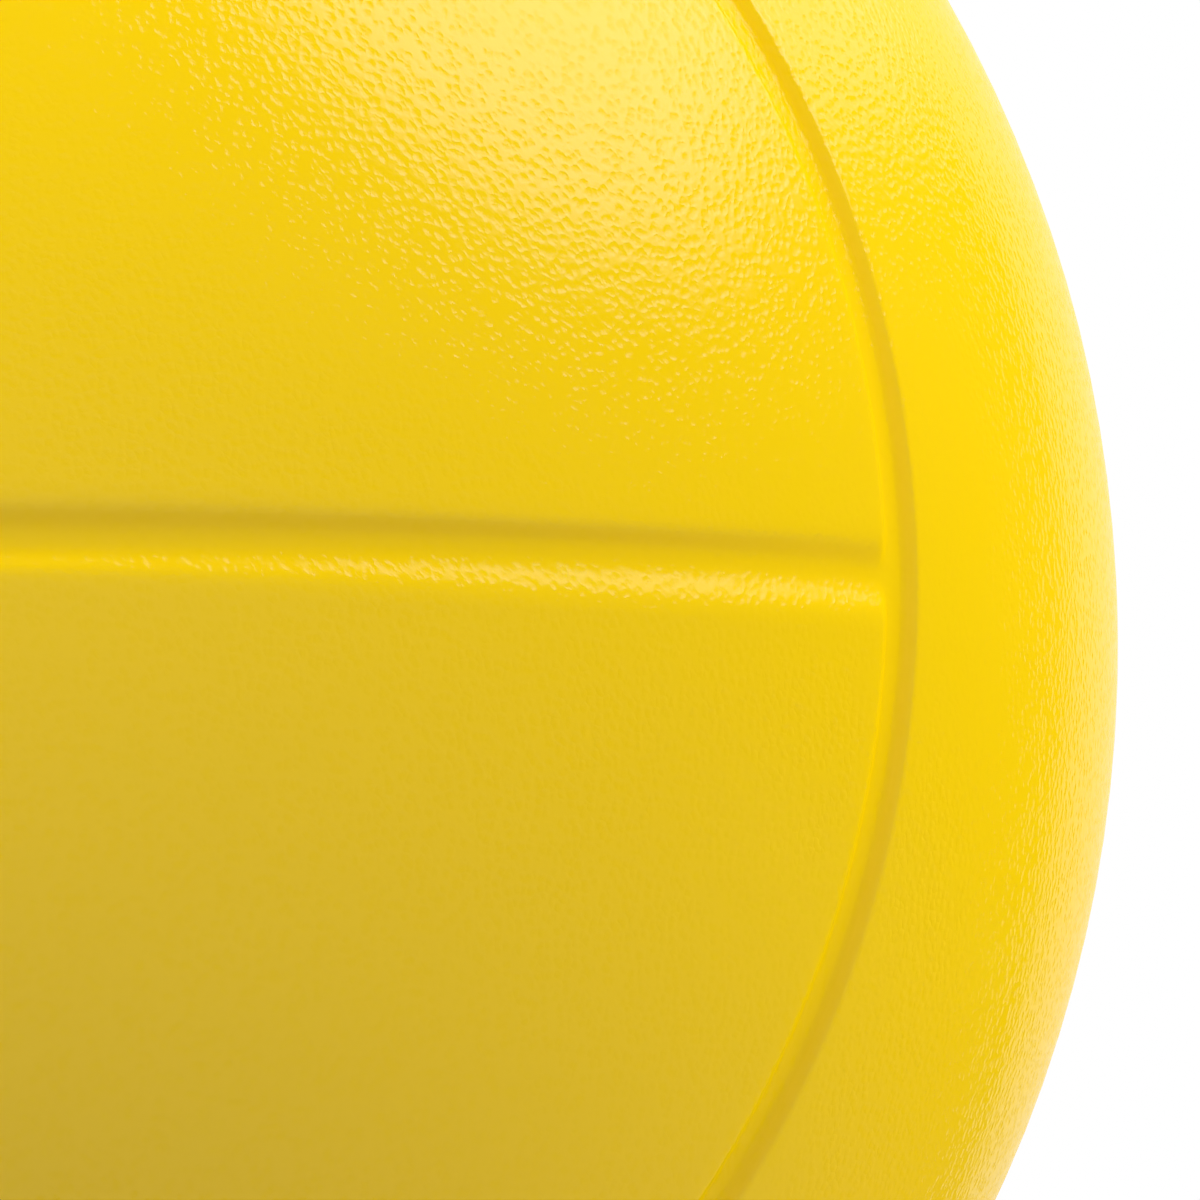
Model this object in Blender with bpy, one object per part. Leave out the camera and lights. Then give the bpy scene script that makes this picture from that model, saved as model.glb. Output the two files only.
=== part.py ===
"""Moulded foam volleyball: a soft foam core under a thin moulded skin, which comes as two mould halves.

The skin carries twelve panels. Each of the ball's six sides has two strips, parted by a straight groove, and
the strips of neighbouring sides run square to each other. The panels are marked only by the grooves.
Units are metres. +Z is up, the ball stands on Z = 0, and -Y is the front.
"""

from math import asin, pi, sin, sqrt

import bmesh
import bpy
from mathutils import Matrix, Vector

# Driving sizes
BALL_DIAMETER = 0.210
GROOVE_WIDTH = 0.0060
GROOVE_DEPTH = 0.0010
SKIN_THICKNESS = 0.0010
SKIN_CLEARANCE = 0.0003  # bond line between the skin and the core
REST_FLAT_DEPTH = 0.0005  # how far the soft ball settles where it stands

# Facets of one panel
GROOVE_FACETS = 2  # from a groove's middle to its lip
PANEL_FACETS = 6  # from lip to lip

# Finishes
SKIN_YELLOW = (0.93, 0.62, 0.01, 1.0)
SKIN_ROUGHNESS = 0.45
FOAM_CREAM = (0.80, 0.70, 0.42, 1.0)
FOAM_ROUGHNESS = 0.95

# The seams between sides lie in planes through the corners of the cube that fits in the ball
SEAM_HEIGHT = 1 / sqrt(3)
SEAM_LATITUDE = asin(SEAM_HEIGHT)
WELD_DISTANCE = SKIN_CLEARANCE / 100  # points closer than this are one

BALL_RADIUS = BALL_DIAMETER / 2
CENTRE_HEIGHT = BALL_RADIUS - REST_FLAT_DEPTH
HALF_GROOVE_ANGLE = GROOVE_WIDTH / 2 / BALL_RADIUS


def clear_scene():
    for old in list(bpy.data.objects):
        bpy.data.objects.remove(old, do_unlink=True)


def finish(name, colour, roughness):
    material = bpy.data.materials.new(name)
    material.use_nodes = True
    shader = material.node_tree.nodes["Principled BSDF"]
    shader.inputs["Base Color"].default_value = colour
    shader.inputs["Roughness"].default_value = roughness
    shader.inputs["Metallic"].default_value = 0.0
    material.diffuse_color = colour
    return material


def strip_latitudes():
    """Angles of a panel's grid lines, from its straight groove out to its long seam."""
    step = HALF_GROOVE_ANGLE / GROOVE_FACETS
    near_groove = [step * i for i in range(GROOVE_FACETS)]
    first = HALF_GROOVE_ANGLE
    last = SEAM_LATITUDE - HALF_GROOVE_ANGLE
    between = [first + (last - first) * i / PANEL_FACETS for i in range(PANEL_FACETS + 1)]
    near_seam = [SEAM_LATITUDE - step * i for i in reversed(range(GROOVE_FACETS))]
    return near_groove + between + near_seam


def panel_direction(row, column, heights):
    """Unit direction of a grid point on half a panel of the +Y side, whose strips run along X.

    Columns follow the straight grooves that meet the panel's long seam at one end, and the seam across the
    strip's end at the other, so neighbouring panels share the points of their common seam.
    """
    z = heights[row]
    ring = sqrt(1 - z * z)
    seam_ring = sqrt(1 - SEAM_HEIGHT**2)
    last = len(heights) - 1
    lip = GROOVE_FACETS

    def end_column(i):
        return sqrt(SEAM_HEIGHT**2 + heights[i] ** 2 - z * z)

    if column <= lip:
        x = heights[column]
    elif column >= last - lip:
        x = end_column(column)
    else:
        seam_angles = [asin(heights[i] / seam_ring) for i in (lip, column, last - lip)]
        share = (seam_angles[1] - seam_angles[0]) / (seam_angles[2] - seam_angles[0])
        start = asin(heights[lip] / ring)
        end = asin(end_column(last - lip) / ring)
        x = ring * sin(start + share * (end - start))
    return Vector((x, sqrt(1 - x * x - z * z), z))


def groove_depth(direction):
    """Depth of the round-bottomed grooves at a direction on half a panel of the +Y side."""
    latitude = asin(direction.z)
    to_groove = latitude
    to_long_seam = SEAM_LATITUDE - latitude
    to_end_seam = asin(direction.y) - SEAM_LATITUDE
    nearest = max(0.0, min(to_groove, to_long_seam, to_end_seam))
    return GROOVE_DEPTH * max(0.0, 1 - (nearest / HALF_GROOVE_ANGLE) ** 2)


def half_panel(inset):
    """Sheet of half a panel, this far inside the ball's surface."""
    heights = [sin(latitude) for latitude in strip_latitudes()]
    count = len(heights) - 1
    sheet = bmesh.new()
    bmesh.ops.create_grid(sheet, x_segments=count, y_segments=count, size=count / 2)
    for vert in sheet.verts:
        column = round(vert.co.x + count / 2)
        row = round(vert.co.y + count / 2)
        direction = panel_direction(row, column, heights)
        vert.co = direction * (BALL_RADIUS - inset - groove_depth(direction))
    return sheet


def add_copy(sheet, matrix, geometry):
    copied = bmesh.ops.duplicate(sheet, geom=geometry)["geom"]
    verts = [item for item in copied if isinstance(item, bmesh.types.BMVert)]
    bmesh.ops.transform(sheet, matrix=matrix, verts=verts)


def boundary_edges(sheet):
    return [edge for edge in sheet.edges if edge.is_boundary]


def everything(sheet):
    return sheet.verts[:] + sheet.edges[:] + sheet.faces[:]


def ball_surface(inset):
    """Closed grooved ball about the origin, this far inside the surface, pressed flat where it stands."""
    sheet = half_panel(inset)
    turn = Matrix(((0, 0, 1), (1, 0, 0), (0, 1, 0))).to_4x4()  # +Y side to +Z side, and on to +X side
    first = everything(sheet)
    add_copy(sheet, turn, first)
    add_copy(sheet, turn @ turn, first)
    for axis in range(3):
        mirror = Matrix.Scale(-1, 4, Vector([float(i == axis) for i in range(3)]))
        add_copy(sheet, mirror, everything(sheet))
    bmesh.ops.remove_doubles(sheet, verts=sheet.verts[:], dist=WELD_DISTANCE)
    floor = Vector((0, 0, inset - CENTRE_HEIGHT))
    bmesh.ops.bisect_plane(
        sheet, geom=everything(sheet), dist=WELD_DISTANCE, plane_co=floor, plane_no=(0, 0, -1), clear_outer=True
    )
    bmesh.ops.holes_fill(sheet, edges=boundary_edges(sheet), sides=0)
    bmesh.ops.recalc_face_normals(sheet, faces=sheet.faces[:])
    return sheet


def front_half(sheet):
    bmesh.ops.bisect_plane(
        sheet, geom=everything(sheet), dist=WELD_DISTANCE, plane_co=(0, 0, 0), plane_no=(0, 1, 0), clear_outer=True
    )
    return sheet


def add_object(name, sheet, material):
    bmesh.ops.triangulate(sheet, faces=sheet.faces[:])
    bmesh.ops.recalc_face_normals(sheet, faces=sheet.faces[:])
    mesh = bpy.data.meshes.new(name)
    sheet.to_mesh(mesh)
    sheet.free()
    mesh.materials.append(material)
    mesh.shade_smooth()
    mesh.set_sharp_from_angle(angle=pi / 4)
    piece = bpy.data.objects.new(name, mesh)
    piece.location = (0, 0, CENTRE_HEIGHT)
    bpy.context.collection.objects.link(piece)
    return piece


def add_skin_half(name, side, material):
    """Half of the skin. Side is 1 for the front half and -1 for the back half, which mirrors it."""
    sheet = front_half(ball_surface(0.0))
    inner = front_half(ball_surface(SKIN_THICKNESS))
    bmesh.ops.reverse_faces(inner, faces=inner.faces[:])
    lining = bpy.data.meshes.new(name + "_lining")
    inner.to_mesh(lining)
    inner.free()
    sheet.from_mesh(lining)
    bpy.data.meshes.remove(lining)
    bmesh.ops.bridge_loops(sheet, edges=boundary_edges(sheet))
    bmesh.ops.transform(sheet, matrix=Matrix.Diagonal((1, side, 1, 1)), verts=sheet.verts[:])
    return add_object(name, sheet, material)


def main():
    clear_scene()
    skin = finish("moulded_skin", SKIN_YELLOW, SKIN_ROUGHNESS)
    foam = finish("soft_foam", FOAM_CREAM, FOAM_ROUGHNESS)
    add_object("foam_core", ball_surface(SKIN_THICKNESS + SKIN_CLEARANCE), foam)
    add_skin_half("skin_front_half", 1, skin)
    add_skin_half("skin_back_half", -1, skin)


main()
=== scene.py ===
"""Looks for a moulded foam volleyball: its grooved skin, its foam core and the studio that shows it.

The file is laid out as an add-on and run as a script. The skin is one even surface with a soft groove
along every panel's edge, parted on the mould's parting plane into the two halves that the model has. The
core lies under it, grooved alike. Units are metres, +Z is up and the front of the ball faces -Y.
"""

import itertools
from math import asin, radians, sqrt

import bpy
import numpy as np
from mathutils import Euler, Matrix, Quaternion, Vector, noise


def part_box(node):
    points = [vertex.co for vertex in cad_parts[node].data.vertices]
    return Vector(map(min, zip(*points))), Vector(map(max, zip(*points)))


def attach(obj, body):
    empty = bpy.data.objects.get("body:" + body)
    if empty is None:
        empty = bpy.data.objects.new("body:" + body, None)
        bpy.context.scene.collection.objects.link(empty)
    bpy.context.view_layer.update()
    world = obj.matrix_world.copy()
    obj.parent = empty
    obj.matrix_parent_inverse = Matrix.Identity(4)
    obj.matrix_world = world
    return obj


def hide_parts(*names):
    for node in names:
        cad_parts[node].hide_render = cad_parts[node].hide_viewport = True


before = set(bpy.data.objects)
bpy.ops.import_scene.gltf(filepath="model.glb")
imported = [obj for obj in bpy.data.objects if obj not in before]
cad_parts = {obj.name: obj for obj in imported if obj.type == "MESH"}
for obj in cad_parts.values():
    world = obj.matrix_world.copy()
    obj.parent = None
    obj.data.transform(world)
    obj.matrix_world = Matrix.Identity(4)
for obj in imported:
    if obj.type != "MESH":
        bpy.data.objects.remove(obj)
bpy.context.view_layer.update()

bl_info = {
    "name": "Foam Volleyball",
    "version": (1, 0, 0),
    "blender": (4, 5, 0),
    "location": "3D View > Sidebar > Foam Ball",
    "description": "Makes the skin, the core and the studio of a moulded foam volleyball",
    "category": "Add Mesh",
}

# Camera
PICTURE_WIDTH = 1200  # pixels, and as high
SENSOR_WIDTH = 36.0  # millimetres
CLIP_START = 0.01

# Stage
TENT_SIDES = 49
TENT_RINGS = 13
TENT_LIFT = 0.0005  # of the tent's floor cloth above the floor
FLOOR_SIDES = 128
FLOOR_FADE = (0.25, 0.9)  # shares of the floor's radius between which it goes over into white
COOL_LIGHT = (0.62, 0.66, 1.0)  # colour of the patches that the highlight mirrors
WHITE = (1.0, 1.0, 1.0, 1.0)

# Slow noise in the skin's shape: wavelengths in metres, and seeds that keep one noise unlike another
WANDER_WAVE = 0.028
WANDER_SEEDS = (11.3, 23.7, 37.1)
UNEVEN_WAVE = 0.018
UNEVEN_SEED = 5.9
SWELLS = ((1.0, 0.030, 1.7), (0.6, 0.012, 7.1))  # share of the height, wavelength and seed
LIP_WAVE = 0.07
LIP_SEED = Vector((91.7, 1.9, -64.19))
LIP_SEED_STEP = Vector((3.7, 0.0, -2.3))  # from one panel to the next
LIP_LIMIT = 0.5
WELD_DIGITS = 6  # points of the unit ball that agree to this many digits are one

# Skin finish
GROOVE_MARK = "groove_share"  # name of the mesh attribute that holds the grooves' depth
GROOVE_DULL_AT = 0.5  # share of the depth from which a groove is as dull as it gets
DIMPLE_DULL_RANGE = (0.25, 0.85)  # shares of a dimple's depth between which its gloss goes
DULL_ROUGHNESS = 0.2  # that fully dull gloss would gain
# share of painted shade down in the skin's dimples
DIMPLE_PAINTED_SHADE = 0.15
CLOUD_TINT = 0.06
CLOUD_ROUGHNESS = 0.04
CLOUDS_PER_METRE = 45.0
BODY_ROUGHNESS = 0.8

# Foam finish
CELL_WALL_RANGE = (0.02, 0.30)  # distances from a cell's edge, in cells, over which its wall ends
# share of painted shade in the middles of the foam's open cells
CELL_PAINTED_SHADE = 0.75
FOAM_CLOUD_TINT = 0.15
FOAM_CLOUDS_PER_METRE = 60.0
FOAM_ROUGHNESS = 0.86
FOAM_CLOUD_ROUGHNESS = 0.1
FOAM_SHINE = 0.2

# The seams between the ball's sides lie in planes through the corners of the cube that fits in the ball
SEAM_HEIGHT = 1 / sqrt(3)
SEAM_LATITUDE = asin(SEAM_HEIGHT)


def node_points(name):
    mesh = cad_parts[name].data
    points = np.empty(len(mesh.vertices) * 3)
    mesh.vertices.foreach_get("co", points)
    return points.reshape(-1, 3)


# The ball as the model has it: the same groove crowns the ball and crosses its sides
SKIN_POINTS = np.vstack([node_points("skin_front_half"), node_points("skin_back_half")])
HALF_WIDTH = float(np.ptp(SKIN_POINTS[:, 0])) / 2
BALL_CENTRE = Vector((0.0, 0.0, float(SKIN_POINTS[:, 2].max()) - HALF_WIDTH))
BALL_RADIUS = float(np.linalg.norm(SKIN_POINTS - np.array(BALL_CENTRE), axis=1).max())
CORE_LOW, CORE_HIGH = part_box("foam_core")
CORE_INSET = HALF_WIDTH - (CORE_HIGH.x - CORE_LOW.x) / 2


class BallShape(bpy.types.PropertyGroup):
    """Sizes of the ball's skin and grooves."""

    seam_depth: bpy.props.FloatProperty(
        name="Seam depth",
        description="Depth of the grooves between the ball's six sides",
        default=0.00095,
        min=0.0,
        precision=5,
        unit="LENGTH",
    )
    seam_softness: bpy.props.FloatProperty(
        name="Seam softness",
        description="How gently those grooves' walls round over at the strips' ends",
        default=0.0006,
        min=0.0001,
        precision=5,
        unit="LENGTH",
    )
    edge_softness: bpy.props.FloatProperty(
        name="Edge softness",
        description="How gently those grooves' walls round over along the strips' long edges",
        default=0.0003,
        min=0.0001,
        precision=5,
        unit="LENGTH",
    )
    edge_reach: bpy.props.FloatProperty(
        name="Edge reach",
        description="From the middle of those grooves to half way up the walls along the strips' long edges",
        default=0.0017,
        min=0.0001,
        precision=5,
        unit="LENGTH",
    )
    strip_depth: bpy.props.FloatProperty(
        name="Strip groove depth",
        description="Depth of the straight groove between the two strips of a side",
        default=0.00095,
        min=0.0,
        precision=5,
        unit="LENGTH",
    )
    strip_softness: bpy.props.FloatProperty(
        name="Strip groove softness",
        description="How gently the walls of that groove round over into its lips and floor",
        default=0.00105,
        min=0.0001,
        precision=5,
        unit="LENGTH",
    )
    lip_variation: bpy.props.FloatProperty(
        name="Lip variation",
        description="Share by which the softness of each panel's lips varies along them",
        default=1.0,
        min=0.0,
        max=1.5,
        subtype="FACTOR",
    )
    groove_width: bpy.props.FloatProperty(
        name="Groove width",
        description="Width of the straight grooves, and of the seams at the strips' ends, half way down",
        default=0.0033,
        min=0.0001,
        precision=5,
        unit="LENGTH",
    )
    groove_reach: bpy.props.FloatProperty(
        name="Groove reach",
        description="How far from a groove's middle the mesh is fine",
        default=0.0044,
        min=0.0001,
        precision=5,
        unit="LENGTH",
    )
    groove_wander: bpy.props.FloatProperty(
        name="Groove wander",
        description="How far the grooves stray from their true lines",
        default=0.00012,
        min=0.0,
        precision=5,
        unit="LENGTH",
    )
    groove_unevenness: bpy.props.FloatProperty(
        name="Groove unevenness",
        description="Share by which the grooves' depth varies along them",
        default=0.07,
        min=0.0,
        max=1.0,
        subtype="FACTOR",
    )
    swell: bpy.props.FloatProperty(
        name="Surface swell",
        description="Height of the slight swells of the soft surface",
        default=0.00003,
        min=0.0,
        precision=6,
        unit="LENGTH",
    )
    skin_thickness: bpy.props.FloatProperty(
        name="Skin thickness",
        description="Thickness of the moulded skin",
        default=0.001,
        min=0.0001,
        precision=5,
        unit="LENGTH",
    )
    groove_lines: bpy.props.IntProperty(
        name="Groove lines",
        description="Mesh lines from a groove's middle to its lip",
        default=11,
        min=2,
    )
    panel_lines: bpy.props.IntProperty(
        name="Panel lines",
        description="Mesh lines from lip to lip of a panel",
        default=22,
        min=2,
    )


class SkinLook(bpy.types.PropertyGroup):
    """Finish of the moulded skin."""

    colour: bpy.props.FloatVectorProperty(
        name="Skin colour",
        description="Colour of the moulded skin",
        default=(0.95, 0.632, 0.001),
        min=0.0,
        max=1.0,
        subtype="COLOR",
    )
    # painted shade down in the dimples; the random colour clouds also blend towards it
    dimple_shade_and_mottle_colour: bpy.props.FloatVectorProperty(
        name="Dimple shade and mottle colour",
        description="Colour down in the skin's dimples",
        default=(0.88, 0.563, 0.001),
        min=0.0,
        max=1.0,
        subtype="COLOR",
    )
    gloss_share: bpy.props.FloatProperty(
        name="Gloss share",
        description="Share of the dimpled gloss on the skin; the rest is the smooth, matt body under it",
        default=0.116,
        min=0.0,
        max=1.0,
        subtype="FACTOR",
    )
    rim_gloss: bpy.props.FloatProperty(
        name="Rim gloss",
        description="Share of gloss that is added where the skin is seen aslant",
        default=0.5,
        min=0.0,
        max=1.0,
        subtype="FACTOR",
    )
    groove_dullness: bpy.props.FloatProperty(
        name="Groove dullness",
        description="Share of the gloss that the grooves lack",
        default=0.45,
        min=0.0,
        max=1.0,
        subtype="FACTOR",
    )
    gloss_ior: bpy.props.FloatProperty(
        name="Gloss IOR",
        description="Index of refraction of the gloss",
        default=2.0,
        min=1.0,
    )
    wear: bpy.props.FloatProperty(
        name="Wear",
        description="Largest share of the skin that is worn to a duller shine",
        default=0.08,
        min=0.0,
        max=1.0,
        subtype="FACTOR",
    )
    worn_roughness: bpy.props.FloatProperty(
        name="Worn roughness",
        description="Roughness of the worn skin",
        default=0.35,
        min=0.0,
        max=1.0,
        subtype="FACTOR",
    )
    worn_shine: bpy.props.FloatProperty(
        name="Worn shine",
        description="Specular level of the worn skin",
        default=0.33,
        min=0.0,
        max=1.0,
        subtype="FACTOR",
    )
    roughness: bpy.props.FloatProperty(
        name="Gloss roughness",
        description="Roughness of the skin's gloss",
        default=0.09,
        min=0.0,
        max=1.0,
        subtype="FACTOR",
    )
    dimple_dullness: bpy.props.FloatProperty(
        name="Dimple dullness",
        description="Share of the gloss that the middles of the dimples lack",
        default=0.25,
        min=0.0,
        max=1.0,
        subtype="FACTOR",
    )
    dimple_spacing: bpy.props.FloatProperty(
        name="Dimple spacing",
        description="Size of the cells that each hold one dimple",
        default=0.00078,
        min=0.0001,
        precision=5,
        unit="LENGTH",
    )
    dimple_radius: bpy.props.FloatProperty(
        name="Dimple radius",
        description="Radius of the widest dimples",
        default=0.00056,
        min=0.00001,
        precision=5,
        unit="LENGTH",
    )
    dimple_stray: bpy.props.FloatProperty(
        name="Dimple stray",
        description="How far the dimples' outlines stray from round",
        default=0.0005,
        min=0.0,
        precision=5,
        unit="LENGTH",
    )
    dimple_depth: bpy.props.FloatProperty(
        name="Dimple depth",
        description="Depth of the widest dimples",
        default=0.00005,
        min=0.0,
        precision=6,
        unit="LENGTH",
    )
    grain_size: bpy.props.FloatProperty(
        name="Grain size",
        description="Width of the fine swells between the dimples",
        default=0.0005,
        min=0.0001,
        precision=5,
        unit="LENGTH",
    )
    grain_height: bpy.props.FloatProperty(
        name="Grain height",
        description="Height of the highest of those swells over the lowest hollows",
        default=0.00001,
        min=0.0,
        precision=6,
        unit="LENGTH",
    )


class FoamLook(bpy.types.PropertyGroup):
    """Finish of the foam core."""

    colour: bpy.props.FloatVectorProperty(
        name="Foam colour",
        description="Colour of the foam's cell walls",
        default=(0.80, 0.70, 0.42),
        min=0.0,
        max=1.0,
        subtype="COLOR",
    )
    # painted shade in the open cells; the random colour clouds also blend towards it
    cell_shade_and_mottle_colour: bpy.props.FloatVectorProperty(
        name="Cell shade and mottle colour",
        description="Colour inside the foam's open cells",
        default=(0.52, 0.42, 0.21),
        min=0.0,
        max=1.0,
        subtype="COLOR",
    )
    cell_size: bpy.props.FloatProperty(
        name="Cell size",
        description="Width of the foam's cells",
        default=0.0012,
        min=0.0001,
        precision=5,
        unit="LENGTH",
    )
    cell_depth: bpy.props.FloatProperty(
        name="Cell depth",
        description="Depth of the cells that the surface cuts open",
        default=0.0003,
        min=0.0,
        precision=5,
        unit="LENGTH",
    )


def softbox_group(name, label, direction, distance, width, height, power):
    """Class that holds the settings of one softbox."""
    settings = {
        "direction": bpy.props.FloatVectorProperty(
            name=label + " direction",
            description="From the ball's centre to this softbox",
            default=direction,
            subtype="DIRECTION",
        ),
        "distance": bpy.props.FloatProperty(
            name=label + " distance",
            description="From the ball's centre to this softbox",
            default=distance,
            min=0.1,
            unit="LENGTH",
        ),
        "width": bpy.props.FloatProperty(
            name=label + " width",
            description="Width of this softbox",
            default=width,
            min=0.01,
            unit="LENGTH",
        ),
        "height": bpy.props.FloatProperty(
            name=label + " height",
            description="Height of this softbox",
            default=height,
            min=0.01,
            unit="LENGTH",
        ),
        "power": bpy.props.FloatProperty(
            name=label + " power",
            description="Power of this softbox in watts",
            default=power,
            min=0.0,
        ),
    }
    return type(name, (bpy.types.PropertyGroup,), {"__doc__": label + ".", "__annotations__": settings})


KeyLight = softbox_group(
    "KeyLight",
    "Key light",
    direction=(0.823, 0.181, 0.538),
    distance=1.0,
    width=0.66,
    height=0.66,
    power=1.45,
)
TopLight = softbox_group(
    "TopLight",
    "Top light",
    direction=(0.0, -0.246, 0.969),
    distance=1.2,
    width=0.9,
    height=0.9,
    power=4.5,
)
LowLight = softbox_group(
    "LowLight",
    "Low light",
    direction=(0.93, 0.25, -0.2),
    distance=0.42,
    width=0.4,
    height=0.05,
    power=0.6,
)


def pale_patch_group(name, label, side, edge, full, level, colour):
    """Class that holds the settings of one pale patch of the light tent."""
    settings = {
        "side": bpy.props.FloatVectorProperty(
            name=label + " side",
            description="From the ball to the middle of this pale patch",
            default=side,
            subtype="DIRECTION",
        ),
        "edge": bpy.props.FloatProperty(
            name=label + " edge",
            description="Cosine of the angle from the patch's middle at which it ends",
            default=edge,
        ),
        "full": bpy.props.FloatProperty(
            name=label + " full",
            description="Cosine of the angle at which it is at its full level",
            default=full,
        ),
        "level": bpy.props.FloatProperty(
            name=label + " level",
            description="Brightness of this pale patch",
            default=level,
            min=0.0,
        ),
        "colour": bpy.props.FloatVectorProperty(
            name=label + " colour",
            description="Colour of this pale patch",
            default=colour,
            min=0.0,
            max=1.0,
            subtype="COLOR",
        ),
    }
    return type(name, (bpy.types.PropertyGroup,), {"__doc__": label + ".", "__annotations__": settings})


TentFront = pale_patch_group(
    "TentFront",
    "Tent front",
    side=(-0.16, -0.52, -0.838),
    edge=-0.45,
    full=1.0,
    level=1.34,
    colour=WHITE[:3],
)
TentWindow = pale_patch_group(
    "TentWindow",
    "Tent window",
    side=(0.34, 0.375, 0.862),
    edge=0.76,
    full=0.84,
    level=2.8,
    colour=COOL_LIGHT,
)
TentLamp = pale_patch_group(
    "TentLamp",
    "Tent lamp",
    side=(0.704, -0.042, 0.709),
    edge=0.885,
    full=0.985,
    level=6.3,
    colour=COOL_LIGHT,
)


class Studio(bpy.types.PropertyGroup):
    """Camera, even light, light tent and floor."""

    camera_distance: bpy.props.FloatProperty(
        name="Camera distance",
        description="From the ball's centre to the camera",
        default=1.365,
        min=0.3,
        unit="LENGTH",
    )
    camera_azimuth: bpy.props.FloatProperty(
        name="Camera azimuth",
        description="Turn of the camera round the ball, from the front towards +X",
        default=radians(1.64),
        subtype="ANGLE",
    )
    camera_elevation: bpy.props.FloatProperty(
        name="Camera elevation",
        description="Rise of the camera above the level of the ball's centre",
        default=radians(-4.43),
        subtype="ANGLE",
    )
    camera_roll: bpy.props.FloatProperty(
        name="Camera roll",
        description="Lean of the camera's top to its right",
        default=radians(0.26),
        subtype="ANGLE",
    )
    outline_radius: bpy.props.FloatProperty(
        name="Outline radius",
        description="Radius of the ball's outline in the picture",
        default=1314.4,
        min=1.0,
        subtype="PIXEL",
    )
    outline_right: bpy.props.FloatProperty(
        name="Outline to the right",
        description="How far right of the picture's middle the ball's centre lies",
        default=-794.4,
        subtype="PIXEL",
    )
    outline_down: bpy.props.FloatProperty(
        name="Outline down",
        description="How far below the picture's middle the ball's centre lies",
        default=46.6,
        subtype="PIXEL",
    )
    fill: bpy.props.FloatProperty(
        name="Fill light",
        description="Strength of the even light from all round",
        default=1.025,
        min=0.0,
    )
    tent_radius: bpy.props.FloatProperty(
        name="Tent radius",
        description="Radius of the light tent round the ball, which only its gloss shows",
        default=1.4,
        min=0.3,
        unit="LENGTH",
    )
    tent_hem: bpy.props.FloatProperty(
        name="Tent hem",
        description="From the ball's axis to the inner edge of the tent's floor cloth",
        default=0.12,
        min=0.01,
        unit="LENGTH",
    )
    tent_sweep: bpy.props.FloatProperty(
        name="Tent sweep",
        description="How far the tent goes round each way from the front; it is open behind",
        default=radians(141.7),
        min=0.0,
        max=radians(180.0),
        subtype="ANGLE",
    )
    floor_radius: bpy.props.FloatProperty(
        name="Floor radius",
        description="Radius of the floor",
        default=1.2,
        min=0.2,
        unit="LENGTH",
    )
    floor_bounce: bpy.props.FloatVectorProperty(
        name="Floor bounce",
        description="Colour of the light that the floor throws back on the ball",
        default=(0.3, 0.3, 0.3),
        min=0.0,
        max=1.0,
        subtype="COLOR",
    )
    floor_colour: bpy.props.FloatVectorProperty(
        name="Floor colour",
        description="Colour of the floor",
        default=(0.85, 0.85, 0.85),
        min=0.0,
        max=1.0,
        subtype="COLOR",
    )


class FoamBall(bpy.types.PropertyGroup):
    """All settings of the foam ball."""

    shape: bpy.props.PointerProperty(type=BallShape, name="Shape", description="Sizes of skin and grooves")
    skin: bpy.props.PointerProperty(type=SkinLook, name="Skin", description="Finish of the skin")
    foam: bpy.props.PointerProperty(type=FoamLook, name="Foam", description="Finish of the core")
    studio: bpy.props.PointerProperty(type=Studio, name="Studio", description="Camera, fill, tent, floor")
    key: bpy.props.PointerProperty(type=KeyLight, name="Key light", description="Softbox high on the right")
    top: bpy.props.PointerProperty(type=TopLight, name="Top light", description="Softbox over the ball")
    low: bpy.props.PointerProperty(type=LowLight, name="Low light", description="Strip low on the right")
    front: bpy.props.PointerProperty(type=TentFront, name="Tent front", description="Cloth low in front")
    window: bpy.props.PointerProperty(type=TentWindow, name="Tent window", description="Cloth overhead")
    lamp: bpy.props.PointerProperty(type=TentLamp, name="Tent lamp", description="Cloth by the key light")


class Wire:
    """A node's output. Expressions on wires add Math nodes to the tree that they are in."""

    def __init__(self, tree, socket):
        self.tree = tree
        self.socket = socket

    def maths(self, operation, *values):
        return self.tree.node("ShaderNodeMath", {"operation": operation}, dict(enumerate(values)))

    def __add__(self, other):
        return self.maths("ADD", self, other)

    __radd__ = __add__

    def __sub__(self, other):
        return self.maths("SUBTRACT", self, other)

    def __rsub__(self, other):
        return self.maths("SUBTRACT", other, self)

    def __mul__(self, other):
        return self.maths("MULTIPLY", self, other)

    __rmul__ = __mul__


class NodeTree:
    """A material's or the world's nodes, emptied and built anew."""

    def __init__(self, owner):
        owner.use_nodes = True
        self.tree = owner.node_tree
        self.tree.nodes.clear()

    def node(self, kind, settings=None, inputs=None, output=0):
        """Adds a node: its settings are set first, then its inputs. Gives one output as a wire."""
        made = self.tree.nodes.new(kind)
        for name, value in (settings or {}).items():
            setattr(made, name, value)
        for name, value in (inputs or {}).items():
            if isinstance(value, Wire):
                self.tree.links.new(value.socket, made.inputs[name])
            else:
                made.inputs[name].default_value = value
        return Wire(self, made.outputs[output]) if made.outputs else None

    def blend(self, share, first, second):
        """Colour that goes from the first to the second as share goes from 0 to 1."""
        colours = {
            name: value if isinstance(value, Wire) else (*value[:3], 1.0)
            for name, value in (("first", first), ("second", second))
        }
        return self.node(
            "ShaderNodeMix",
            {"data_type": "RGBA"},
            {0: share, 6: colours["first"], 7: colours["second"]},
            2,
        )

    def rise(self, value, start, end):
        """Smooth step from 0 at start to 1 at end."""
        return self.node(
            "ShaderNodeMapRange",
            {"interpolation_type": "SMOOTHSTEP"},
            {"Value": value, "From Min": start, "From Max": end},
        )


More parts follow.
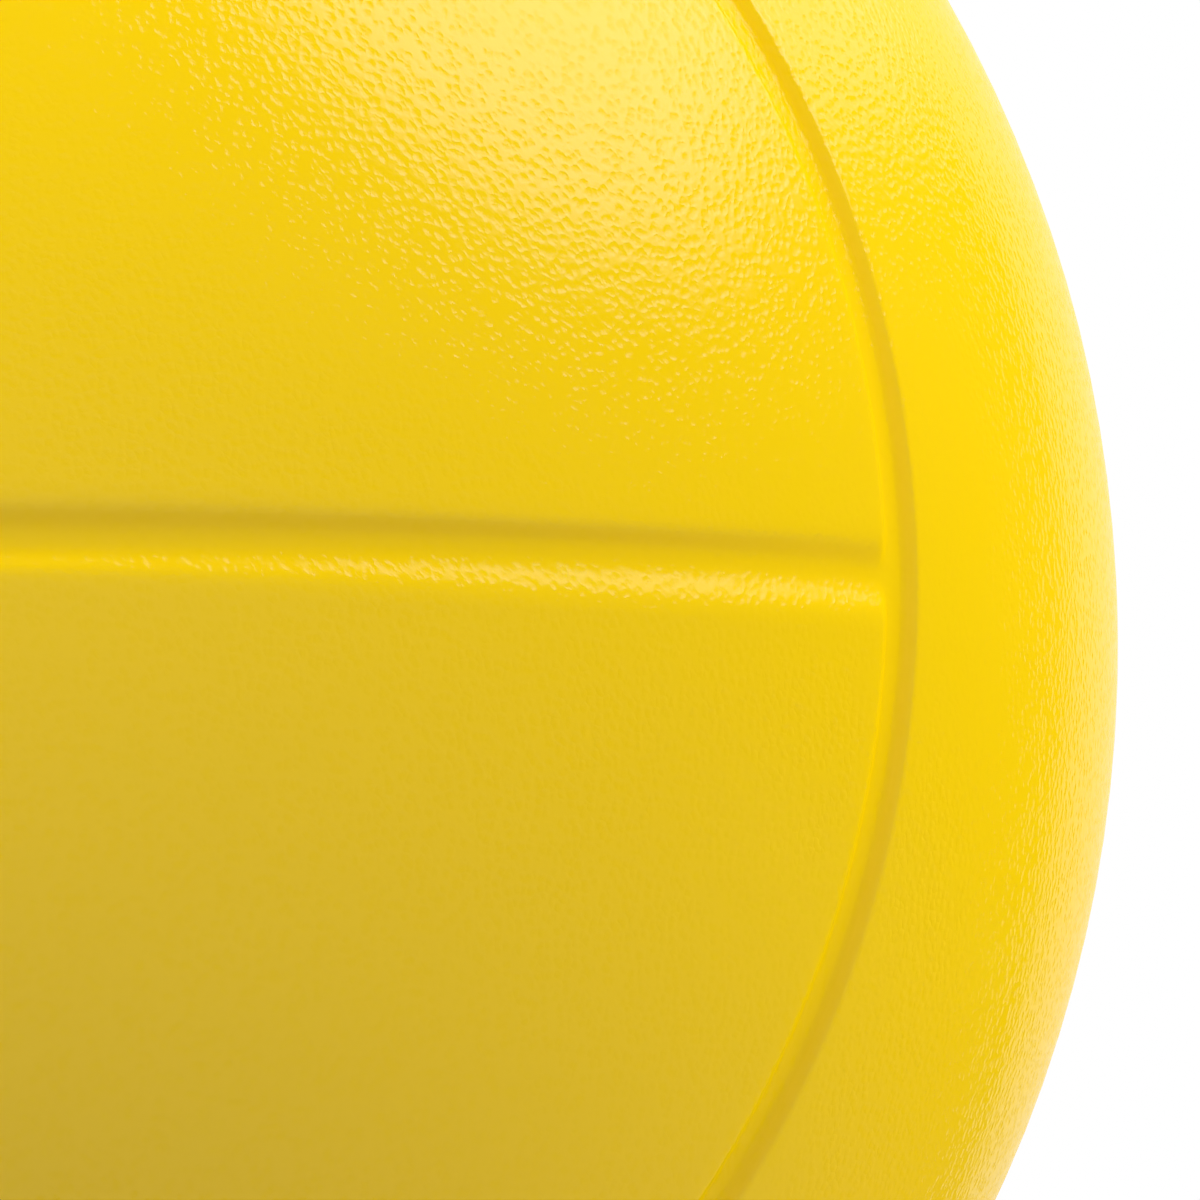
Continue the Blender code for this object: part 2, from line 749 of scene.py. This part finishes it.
def skin_finish(look):
    """Moulded polyurethane: a thin dimpled gloss over a yellow body, a little worn and uneven in colour.

    Light spreads inside the soft body, so its shade is smooth and only the gloss shows the dimples.
    """
    material = bpy.data.materials.new("moulded_skin")
    tree = NodeTree(material)
    place = tree.node("ShaderNodeTexCoord", output="Object")
    dimples_per_metre = 1 / look.dimple_spacing
    bend = tree.node("ShaderNodeTexNoise", None, {"Vector": place, "Scale": dimples_per_metre}, "Color")
    bend = tree.node("ShaderNodeVectorMath", {"operation": "SUBTRACT"}, {0: bend, 1: (0.5, 0.5, 0.5)})
    bent = tree.node(
        "ShaderNodeVectorMath",
        {"operation": "MULTIPLY_ADD"},
        {0: bend, 1: [look.dimple_stray] * 3, 2: place},
    )
    cell = tree.node(
        "ShaderNodeTexVoronoi",
        {"feature": "F1"},
        {"Vector": bent, "Scale": dimples_per_metre, "Randomness": 1.0},
        "Distance",
    )
    reach = cell * (look.dimple_spacing / look.dimple_radius)
    bowl = cell.maths("MAXIMUM", 1 - reach * reach, 0.0)
    dimple = bowl * bowl
    grain = tree.node(
        "ShaderNodeTexNoise",
        None,
        {"Vector": place, "Scale": 1 / look.grain_size, "Detail": 0.0},
        "Fac",
    )
    cloud = tree.node(
        "ShaderNodeTexNoise",
        None,
        {"Vector": place, "Scale": CLOUDS_PER_METRE, "Detail": 3.0, "Roughness": 0.6},
        "Fac",
    )
    colour = tree.blend(CLOUD_TINT * cloud, look.colour, look.dimple_shade_and_mottle_colour)
    # painted shade: the dimples' hollows are darkened
    colour = tree.blend(DIMPLE_PAINTED_SHADE * dimple, colour, look.dimple_shade_and_mottle_colour)
    height = look.grain_height * grain - look.dimple_depth * dimple
    normal = tree.node("ShaderNodeBump", None, {"Height": height, "Distance": 1.0})
    dull = look.dimple_dullness * tree.rise(dimple, *DIMPLE_DULL_RANGE)
    gloss_roughness = look.roughness + CLOUD_ROUGHNESS * (cloud - 0.5) + DULL_ROUGHNESS * dull
    gloss = tree.node(
        "ShaderNodeBsdfPrincipled",
        None,
        {
            "Base Color": colour,
            "Roughness": gloss_roughness,
            "IOR": look.gloss_ior,
            "Specular IOR Level": 1.0,
            "Normal": normal,
        },
    )
    body = tree.node(
        "ShaderNodeBsdfPrincipled",
        None,
        {"Base Color": colour, "Roughness": BODY_ROUGHNESS, "Specular IOR Level": 0.0},
    )
    slant = tree.node("ShaderNodeLayerWeight", output="Facing")
    slant_squared = slant * slant
    depth = tree.node("ShaderNodeAttribute", {"attribute_name": GROOVE_MARK}, output="Fac")
    groove_dull = look.groove_dullness * tree.rise(depth, 0.0, GROOVE_DULL_AT)
    gloss_share = look.gloss_share + look.rim_gloss * (slant_squared * slant_squared)
    gloss_share = gloss_share * (1 - groove_dull) * (1 - dull)
    fresh = tree.node("ShaderNodeMixShader", None, {0: 1 - gloss_share, 1: gloss, 2: body})
    worn = tree.node(
        "ShaderNodeBsdfPrincipled",
        None,
        {
            "Base Color": colour,
            "Roughness": look.worn_roughness,
            "Specular IOR Level": look.worn_shine,
            "Normal": normal,
        },
    )
    surface = tree.node("ShaderNodeMixShader", None, {0: 1 - look.wear * cloud, 1: worn, 2: fresh})
    tree.node("ShaderNodeOutputMaterial", None, {"Surface": surface})
    return material


def foam_finish(look):
    """Open-cell polyurethane foam: pale cell walls round darker cells, with no gloss."""
    material = bpy.data.materials.new("core_foam")
    tree = NodeTree(material)
    place = tree.node("ShaderNodeTexCoord", output="Object")
    wall = tree.node(
        "ShaderNodeTexVoronoi",
        {"feature": "DISTANCE_TO_EDGE"},
        {"Vector": place, "Scale": 1 / look.cell_size},
        "Distance",
    )
    opening = tree.rise(wall, *CELL_WALL_RANGE)
    cloud = tree.node(
        "ShaderNodeTexNoise",
        None,
        {"Vector": place, "Scale": FOAM_CLOUDS_PER_METRE, "Detail": 3.0},
        "Fac",
    )
    # painted shade darkens the cells' middles; the clouds are a random mottle
    colour = tree.blend(CELL_PAINTED_SHADE * opening + FOAM_CLOUD_TINT * cloud, look.colour, look.cell_shade_and_mottle_colour)
    normal = tree.node("ShaderNodeBump", None, {"Height": 1 - opening, "Distance": look.cell_depth})
    shader = tree.node(
        "ShaderNodeBsdfPrincipled",
        None,
        {
            "Base Color": colour,
            "Roughness": FOAM_ROUGHNESS + FOAM_CLOUD_ROUGHNESS * cloud,
            "Specular IOR Level": FOAM_SHINE,
            "Normal": normal,
        },
    )
    tree.node("ShaderNodeOutputMaterial", None, {"Surface": shader})
    return material


def strip_heights(groove_lines, panel_lines, lip):
    """Heights on the unit ball of a panel's mesh lines, from its straight groove out to its long seam."""
    near = np.linspace(0.0, lip, groove_lines + 1)
    between = np.linspace(lip, SEAM_LATITUDE - lip, panel_lines + 1)[1:-1]
    return np.sin(np.concatenate([near, between, SEAM_LATITUDE - near[::-1]]))


def half_panel(heights, lip_line):
    """Directions of the mesh points on half a panel of the +Y side, whose strips run along X.

    Lines across the strip follow the straight grooves that meet its long seam at one end, and the seam
    across the strip's end at the other, so that neighbouring panels share the points of their common seam.
    """
    z = heights[:, None]
    ring = np.sqrt(1 - z**2)
    ends = np.sqrt(SEAM_HEIGHT**2 + heights[None, :] ** 2 - z**2)
    x = np.where(np.arange(len(heights)) <= lip_line, heights[None, :], ends)
    first, last = lip_line, len(heights) - 1 - lip_line
    on_seam = np.arcsin(heights[first : last + 1] / sqrt(1 - SEAM_HEIGHT**2))
    share = (on_seam - on_seam[0]) / (on_seam[-1] - on_seam[0])
    start = np.arcsin(heights[first] / ring)
    end = np.arcsin(ends[:, last : last + 1] / ring)
    x[:, first : last + 1] = ring * np.sin(start + share * (end - start))
    return np.stack(np.broadcast_arrays(x, np.sqrt(1 - x**2 - z**2), z), axis=-1)


def grid_faces(index):
    """Four-cornered faces of a grid whose points have these indices."""
    return np.stack([index[:-1, :-1], index[:-1, 1:], index[1:, 1:], index[1:, :-1]], axis=-1).reshape(-1, 4)


def ball_mesh(groove_lines, panel_lines, lip):
    """Unit directions and four-cornered faces of the whole ball, from 24 turned and mirrored half panels."""
    heights = strip_heights(groove_lines, panel_lines, lip)
    panel = half_panel(heights, groove_lines)
    count = len(heights)
    index = np.arange(count * count).reshape(count, count)
    quads = grid_faces(index)
    points, faces = [], []
    for turn, signs in itertools.product(range(3), itertools.product((1, -1), repeat=3)):
        mirrored = np.prod(signs) < 0
        faces.append((quads if mirrored else quads[:, ::-1]) + len(points) * count * count)
        points.append((np.roll(panel, turn, axis=-1) * signs).reshape(-1, 3))
    points = np.vstack(points)
    rounded = np.round(points, WELD_DIGITS) + 0.0  # the sum turns -0.0 into 0.0
    _, kept, welded = np.unique(rounded, axis=0, return_index=True, return_inverse=True)
    return points[kept], welded.reshape(-1)[np.vstack(faces)]


def noise_values(directions, wavelength, seed):
    """Smooth noise over the ball, from -1 to 1, whose swells are about a wavelength across."""
    offset = Vector((seed, -2.0 * seed, 3.0 * seed))
    scale = BALL_RADIUS / wavelength
    return np.array([noise.noise(Vector(way) * scale + offset) for way in directions])


def panel_noise(directions, panels):
    """Slow noise over each panel, unlike its neighbours', kept within the lips' limit."""
    scale = BALL_RADIUS / LIP_WAVE
    values = [
        noise.noise(Vector(way) * scale + LIP_SEED + LIP_SEED_STEP * panel)
        for way, panel in zip(directions, panels.tolist())
    ]
    return np.clip(values, -LIP_LIMIT, LIP_LIMIT)


def groove_profile(distance, half_width, softness):
    """Depth of a soft-walled groove at a distance from its middle, as a share of its full depth."""
    walls = np.tanh((half_width - distance) / softness) + np.tanh((half_width + distance) / softness)
    return walls / (2 * np.tanh(half_width / softness))


def groove_depths(directions, shape):
    """Depth of the grooves at each direction."""
    stray = np.stack([noise_values(directions, WANDER_WAVE, seed) for seed in WANDER_SEEDS], axis=-1)
    ways = directions + stray * shape.groove_wander / BALL_RADIUS
    ways = ways / np.linalg.norm(ways, axis=1, keepdims=True)
    x, y, z = ways.T
    on_y_side = (np.abs(y) >= SEAM_HEIGHT) & (np.abs(z) <= SEAM_HEIGHT)
    on_z_side = (np.abs(z) >= SEAM_HEIGHT) & (np.abs(x) <= SEAM_HEIGHT)
    across = np.arcsin(np.select([on_y_side, on_z_side], [z, x], y))
    facing = np.arcsin(np.select([on_y_side, on_z_side], [y, z], x))
    panel = np.select([on_y_side, on_z_side], [0, 1], 2) * 4 + (facing > 0) * 2 + (across > 0)
    softness = 1 + shape.lip_variation * panel_noise(ways, panel)
    half_width = shape.groove_width / 2
    across, facing = np.abs(across), np.abs(facing)
    ridge = 1.0
    for angle, depth, reach, soft in (
        (across, shape.strip_depth / shape.seam_depth, half_width, shape.strip_softness * softness),
        (SEAM_LATITUDE - across, 1.0, shape.edge_reach, shape.edge_softness),
        (facing - SEAM_LATITUDE, 1.0, half_width, shape.seam_softness),
    ):
        ridge = ridge * (1 - depth * groove_profile(angle * BALL_RADIUS, reach, soft))
    return shape.seam_depth * (1 - ridge)


def ball_heights(directions, depths, shape):
    """Distance from the ball's centre to its outer surface, in each direction."""
    uneven = 1 + shape.groove_unevenness * noise_values(directions, UNEVEN_WAVE, UNEVEN_SEED)
    swells = sum(share * noise_values(directions, wave, seed) for share, wave, seed in SWELLS)
    return BALL_RADIUS + shape.swell * swells - uneven * depths


def surface_normals(points, faces):
    """Unit normal at each point, from the faces round it."""
    corners = points[faces]
    face_normals = np.cross(corners[:, 2] - corners[:, 0], corners[:, 3] - corners[:, 1])
    normals = np.zeros_like(points)
    for corner in range(4):
        np.add.at(normals, faces[:, corner], face_normals)
    return normals / np.linalg.norm(normals, axis=1, keepdims=True)


def settled(points, floor):
    """Points with the ball set on its centre and pressed flat where it stands."""
    placed = points + np.array(BALL_CENTRE)
    placed[:, 2] = np.maximum(placed[:, 2], floor)
    return placed


def mark_grooves(piece, shares):
    """Notes on each point of the piece its share of the full groove depth."""
    marks = piece.data.attributes.new(GROOVE_MARK, "FLOAT", "POINT")
    marks.data.foreach_set("value", shares)


def add_piece(name, points, faces, material, normals=None):
    """Smooth-shaded piece of the ball, on its one body."""
    mesh = bpy.data.meshes.new(name)
    mesh.from_pydata(points.tolist(), [], [list(face) for face in faces])
    mesh.validate()
    mesh.shade_smooth()
    if normals is not None:
        mesh.normals_split_custom_set_from_vertices(normals.tolist())
    mesh.materials.append(material)
    piece = bpy.data.objects.new(name, mesh)
    bpy.context.scene.collection.objects.link(piece)
    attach(piece, "root")
    return piece


def skin_half(outer, inner, normals, faces):
    """Closed shell of the faces on one side of the parting plane, with a flat rim along it."""
    edges = np.vstack([faces[:, [i, (i + 1) % 4]] for i in range(4)])
    both_ways = {(a, b) for a, b in edges.tolist()}
    rim = np.array([(a, b) for a, b in edges.tolist() if (b, a) not in both_ways])
    used, local = np.unique(faces, return_inverse=True)
    local = local.reshape(faces.shape)
    count = len(used)
    place = {vertex: i for i, vertex in enumerate(used.tolist())}
    rim = np.array([(place[a], place[b]) for a, b in rim.tolist()])
    rim_faces = np.stack([rim[:, 1], rim[:, 0], rim[:, 0] + count, rim[:, 1] + count], axis=-1)
    points = np.vstack([outer[used], inner[used]])
    shell_normals = np.vstack([normals[used], -normals[used]])
    return points, np.vstack([local, local[:, ::-1] + count, rim_faces]), shell_normals, used


class FOAMBALL_OT_add_core(bpy.types.Operator):
    """Add the one-piece foam core under the skin."""

    bl_idname = "foam_ball.add_core"
    bl_label = "Add Core"

    def execute(self, context):
        ball = context.scene.foam_ball
        shape = ball.shape
        lip = shape.groove_reach / BALL_RADIUS
        ways, faces = ball_mesh(shape.groove_lines // 2, shape.panel_lines // 2, lip)
        heights = ball_heights(ways, groove_depths(ways, shape), shape)
        points = settled(ways * (heights - CORE_INSET)[:, None], CORE_LOW.z)
        core = add_piece("core_foam", points, faces, foam_finish(ball.foam))
        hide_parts("foam_core")
        return {"FINISHED"}


class FOAMBALL_OT_add_skin(bpy.types.Operator):
    """Add the two halves of the moulded skin."""

    bl_idname = "foam_ball.add_skin"
    bl_label = "Add Skin"

    def execute(self, context):
        ball = context.scene.foam_ball
        shape = ball.shape
        lip = shape.groove_reach / BALL_RADIUS
        ways, faces = ball_mesh(shape.groove_lines, shape.panel_lines, lip)
        depths = groove_depths(ways, shape)
        heights = ball_heights(ways, depths, shape)[:, None]
        outer = settled(ways * heights, 0.0)
        inner = settled(ways * (heights - shape.skin_thickness), shape.skin_thickness)
        normals = surface_normals(outer, faces)
        material = skin_finish(ball.skin)
        middles = outer[faces].mean(axis=1)
        for name, node, side in (("skin_front", "skin_front_half", -1), ("skin_back", "skin_back_half", 1)):
            half = faces[middles[:, 1] * side > 0]
            points, shell_faces, shell_normals, used = skin_half(outer, inner, normals, half)
            skin = add_piece(name, points, shell_faces, material, shell_normals)
            mark_grooves(skin, np.tile(depths[used] / shape.seam_depth, 2))
            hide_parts(node)
        return {"FINISHED"}


def set_camera(studio):
    """Camera at the picture's viewing angle, turned aside so that the ball's outline lies left of it."""
    turn = Euler((-studio.camera_elevation, 0.0, studio.camera_azimuth)).to_matrix()
    away = turn @ Vector((0.0, -1.0, 0.0))
    reach = sqrt(studio.camera_distance**2 - BALL_RADIUS**2)
    focal_pixels = studio.outline_radius * reach / BALL_RADIUS
    data = bpy.data.cameras.new("studio_camera")
    data.sensor_width = SENSOR_WIDTH
    data.lens = focal_pixels * SENSOR_WIDTH / PICTURE_WIDTH
    data.clip_start = CLIP_START
    camera = bpy.data.objects.new("studio_camera", data)
    bpy.context.scene.collection.objects.link(camera)
    aside = Vector((studio.outline_right, -studio.outline_down, -focal_pixels))
    aim = (-away).to_track_quat("-Z", "Y")
    roll = Quaternion((0.0, 0.0, 1.0), -studio.camera_roll)
    straighten = aside.normalized().rotation_difference(Vector((0.0, 0.0, -1.0)))
    camera.rotation_mode = "QUATERNION"
    camera.rotation_quaternion = aim @ roll @ straighten
    camera.location = BALL_CENTRE + away * studio.camera_distance
    bpy.context.scene.camera = camera


def add_softbox(name, box):
    """Area light that shines on the ball, hidden from the camera and from the gloss, which has the tent."""
    data = bpy.data.lights.new(name, "AREA")
    data.shape = "RECTANGLE"
    data.size = box.width
    data.size_y = box.height
    data.energy = box.power
    light = bpy.data.objects.new(name, data)
    direction = Vector(box.direction).normalized()
    light.location = BALL_CENTRE + direction * box.distance
    light.rotation_mode = "QUATERNION"
    light.rotation_quaternion = direction.to_track_quat("Z", "Y")
    light.visible_camera = False
    light.visible_glossy = False
    bpy.context.scene.collection.objects.link(light)


def tent_finish(patches):
    """Dark cloth with soft-edged pale patches, each over those before it."""
    material = bpy.data.materials.new("light_tent")
    material.cycles.emission_sampling = "NONE"
    tree = NodeTree(material)
    place = tree.node("ShaderNodeTexCoord", output="Object")
    way = tree.node("ShaderNodeVectorMath", {"operation": "NORMALIZE"}, {0: place})
    glow = (0.0, 0.0, 0.0)
    for patch in patches:
        side = Vector(patch.side).normalized()
        facing = tree.node("ShaderNodeVectorMath", {"operation": "DOT_PRODUCT"}, {0: way, 1: side}, "Value")
        pale = Vector(patch.colour) * patch.level
        glow = tree.blend(tree.rise(facing, patch.edge, patch.full), glow, pale)
    light = tree.node("ShaderNodeEmission", None, {"Color": glow})
    tree.node("ShaderNodeOutputMaterial", None, {"Surface": light})
    return material


def add_light_tent(studio, patches):
    """Tent that only the ball's gloss mirrors: a floor cloth, and a dome that is open behind."""
    angles = np.linspace(-studio.tent_sweep, studio.tent_sweep, TENT_SIDES)
    rises = np.linspace(0.0, np.pi / 2, TENT_RINGS)
    reaches = np.concatenate([[studio.tent_hem], studio.tent_radius * np.cos(rises)])
    heights = np.concatenate([[0.0], studio.tent_radius * np.sin(rises)]) + TENT_LIFT - BALL_CENTRE.z
    points = np.stack(
        np.broadcast_arrays(
            reaches[:, None] * np.sin(angles), -reaches[:, None] * np.cos(angles), heights[:, None]
        ),
        axis=-1,
    )
    index = np.arange(points[..., 0].size).reshape(points.shape[:2])
    mesh = bpy.data.meshes.new("light_tent")
    mesh.from_pydata(points.reshape(-1, 3).tolist(), [], grid_faces(index).tolist())
    mesh.materials.append(tent_finish(patches))
    tent = bpy.data.objects.new("light_tent", mesh)
    tent.location = BALL_CENTRE
    for ray in ("camera", "diffuse", "transmission", "volume_scatter", "shadow"):
        setattr(tent, "visible_" + ray, False)
    bpy.context.scene.collection.objects.link(tent)


def seen_share(tree):
    """1 for rays that show a thing, directly or in a gloss, and 0 for those that only carry its light."""
    camera, glossy, through = [
        tree.node("ShaderNodeLightPath", output=name)
        for name in ("Is Camera Ray", "Is Glossy Ray", "Is Transmission Ray")
    ]
    return camera.maths("MAXIMUM", camera.maths("MAXIMUM", camera, glossy), through)


def set_world(studio):
    """White where it is seen, directly or in a gloss, and the even fill light on everything else."""
    world = bpy.data.worlds.new("studio_white")
    tree = NodeTree(world)
    strength = studio.fill + seen_share(tree) * (1 - studio.fill)
    light = tree.node("ShaderNodeBackground", None, {"Color": WHITE, "Strength": strength})
    tree.node("ShaderNodeOutputWorld", None, {"Surface": light})
    bpy.context.scene.world = world


def floor_finish(studio):
    """Pale floor round the ball, which goes over into the white of the studio."""
    material = bpy.data.materials.new("studio_floor")
    tree = NodeTree(material)
    place = tree.node("ShaderNodeTexCoord", output="Object")
    distance = tree.node("ShaderNodeVectorMath", {"operation": "LENGTH"}, {0: place}, "Value")
    away = tree.rise(distance, *[share * studio.floor_radius for share in FLOOR_FADE])
    seen = seen_share(tree)
    colour = tree.blend(seen, studio.floor_bounce, studio.floor_colour)
    matt = tree.node("ShaderNodeBsdfDiffuse", None, {"Color": colour})
    white = tree.node("ShaderNodeEmission", None, {"Color": WHITE})
    surface = tree.node("ShaderNodeMixShader", None, {0: away * seen, 1: matt, 2: white})
    tree.node("ShaderNodeOutputMaterial", None, {"Surface": surface})
    return material


def add_floor(studio):
    """Round floor under the ball."""
    angles = np.linspace(0, 2 * np.pi, FLOOR_SIDES, endpoint=False)
    points = np.stack([np.cos(angles), np.sin(angles), 0 * angles], axis=-1) * studio.floor_radius
    mesh = bpy.data.meshes.new("studio_floor")
    mesh.from_pydata(points.tolist(), [], [list(range(FLOOR_SIDES))])
    mesh.materials.append(floor_finish(studio))
    floor = bpy.data.objects.new("studio_floor", mesh)
    bpy.context.scene.collection.objects.link(floor)


class FOAMBALL_OT_set_studio(bpy.types.Operator):
    """Set up the camera, the softboxes, the light tent, the white surroundings and the floor."""

    bl_idname = "foam_ball.set_studio"
    bl_label = "Set Studio"

    def execute(self, context):
        ball = context.scene.foam_ball
        studio = ball.studio
        set_camera(studio)
        for name in ("key", "top", "low"):
            add_softbox(name + "_softbox", getattr(ball, name))
        add_light_tent(studio, (ball.front, ball.window, ball.lamp))
        set_world(studio)
        add_floor(studio)
        context.scene.view_settings.view_transform = "Standard"
        return {"FINISHED"}


class FOAMBALL_PT_panel(bpy.types.Panel):
    """Sidebar panel with the pieces and their settings."""

    bl_idname = "FOAMBALL_PT_panel"
    bl_label = "Foam Volleyball"
    bl_space_type = "VIEW_3D"
    bl_region_type = "UI"
    bl_category = "Foam Ball"

    def draw(self, context):
        ball = context.scene.foam_ball
        lights = (ball.key, ball.top, ball.low)
        patches = (ball.front, ball.window, ball.lamp)
        for operator, groups in (
            (FOAMBALL_OT_add_core, (ball.foam,)),
            (FOAMBALL_OT_add_skin, (ball.shape, ball.skin)),
            (FOAMBALL_OT_set_studio, (ball.studio, *lights, *patches)),
        ):
            box = self.layout.box()
            box.operator(operator.bl_idname)
            for group in groups:
                for name in group.__annotations__:
                    box.prop(group, name)


CLASSES = (
    BallShape,
    SkinLook,
    FoamLook,
    KeyLight,
    TopLight,
    LowLight,
    TentFront,
    TentWindow,
    TentLamp,
    Studio,
    FoamBall,
    FOAMBALL_OT_add_core,
    FOAMBALL_OT_add_skin,
    FOAMBALL_OT_set_studio,
    FOAMBALL_PT_panel,
)


def register():
    for kind in CLASSES:
        bpy.utils.register_class(kind)
    bpy.types.Scene.foam_ball = bpy.props.PointerProperty(type=FoamBall)


def unregister():
    del bpy.types.Scene.foam_ball
    for kind in reversed(CLASSES):
        bpy.utils.unregister_class(kind)


def main():
    register()
    bpy.ops.foam_ball.add_core()
    bpy.ops.foam_ball.add_skin()
    bpy.ops.foam_ball.set_studio()


if __name__ == "__main__":
    main()
